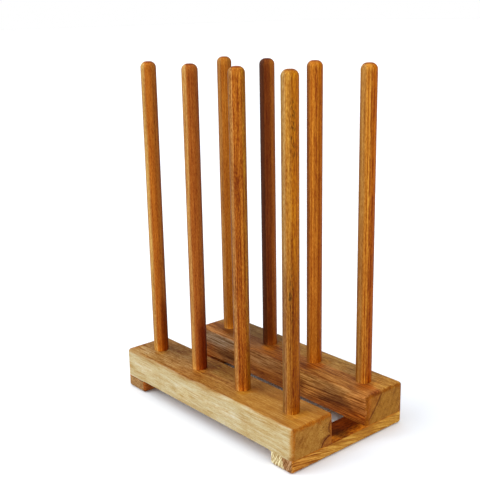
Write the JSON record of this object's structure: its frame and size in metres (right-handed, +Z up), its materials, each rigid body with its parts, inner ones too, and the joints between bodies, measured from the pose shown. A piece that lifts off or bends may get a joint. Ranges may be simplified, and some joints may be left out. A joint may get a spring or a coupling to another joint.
{
  "type": "boot rack",
  "caption": "Free-standing timber boot rack: twin rails on cross battens, with rows of tall round pegs that hold boots upside down.",
  "frame": {"origin": "on the floor under the middle of the rack, the bottom centre of its box", "axes": "+Z up along the pegs, +X along the rails, +Y from the front rail to the rear rail"},
  "size_m": [0.375, 0.218, 0.508],
  "materials": {
    "front_rail_wood": "oiled satin hardwood, pale sapwood on the front face",
    "rear_rail_wood": "oiled satin hardwood, dark streaked heartwood",
    "batten_wood": "oiled satin hardwood",
    "peg_wood": "oiled satin hardwood dowel",
    "screw_steel": "zinc-plated steel"
  },
  "bodies": {
    "root": {"front_rail": "front_rail_wood", "rear_rail": "rear_rail_wood", "left_batten": "batten_wood", "right_batten": "batten_wood", "front_peg_1": "peg_wood", "front_peg_2": "peg_wood", "front_peg_3": "peg_wood", "front_peg_4": "peg_wood", "rear_peg_1": "peg_wood", "rear_peg_2": "peg_wood", "rear_peg_3": "peg_wood", "rear_peg_4": "peg_wood", "batten_screws": "screw_steel"}
  },
  "joints": []
}
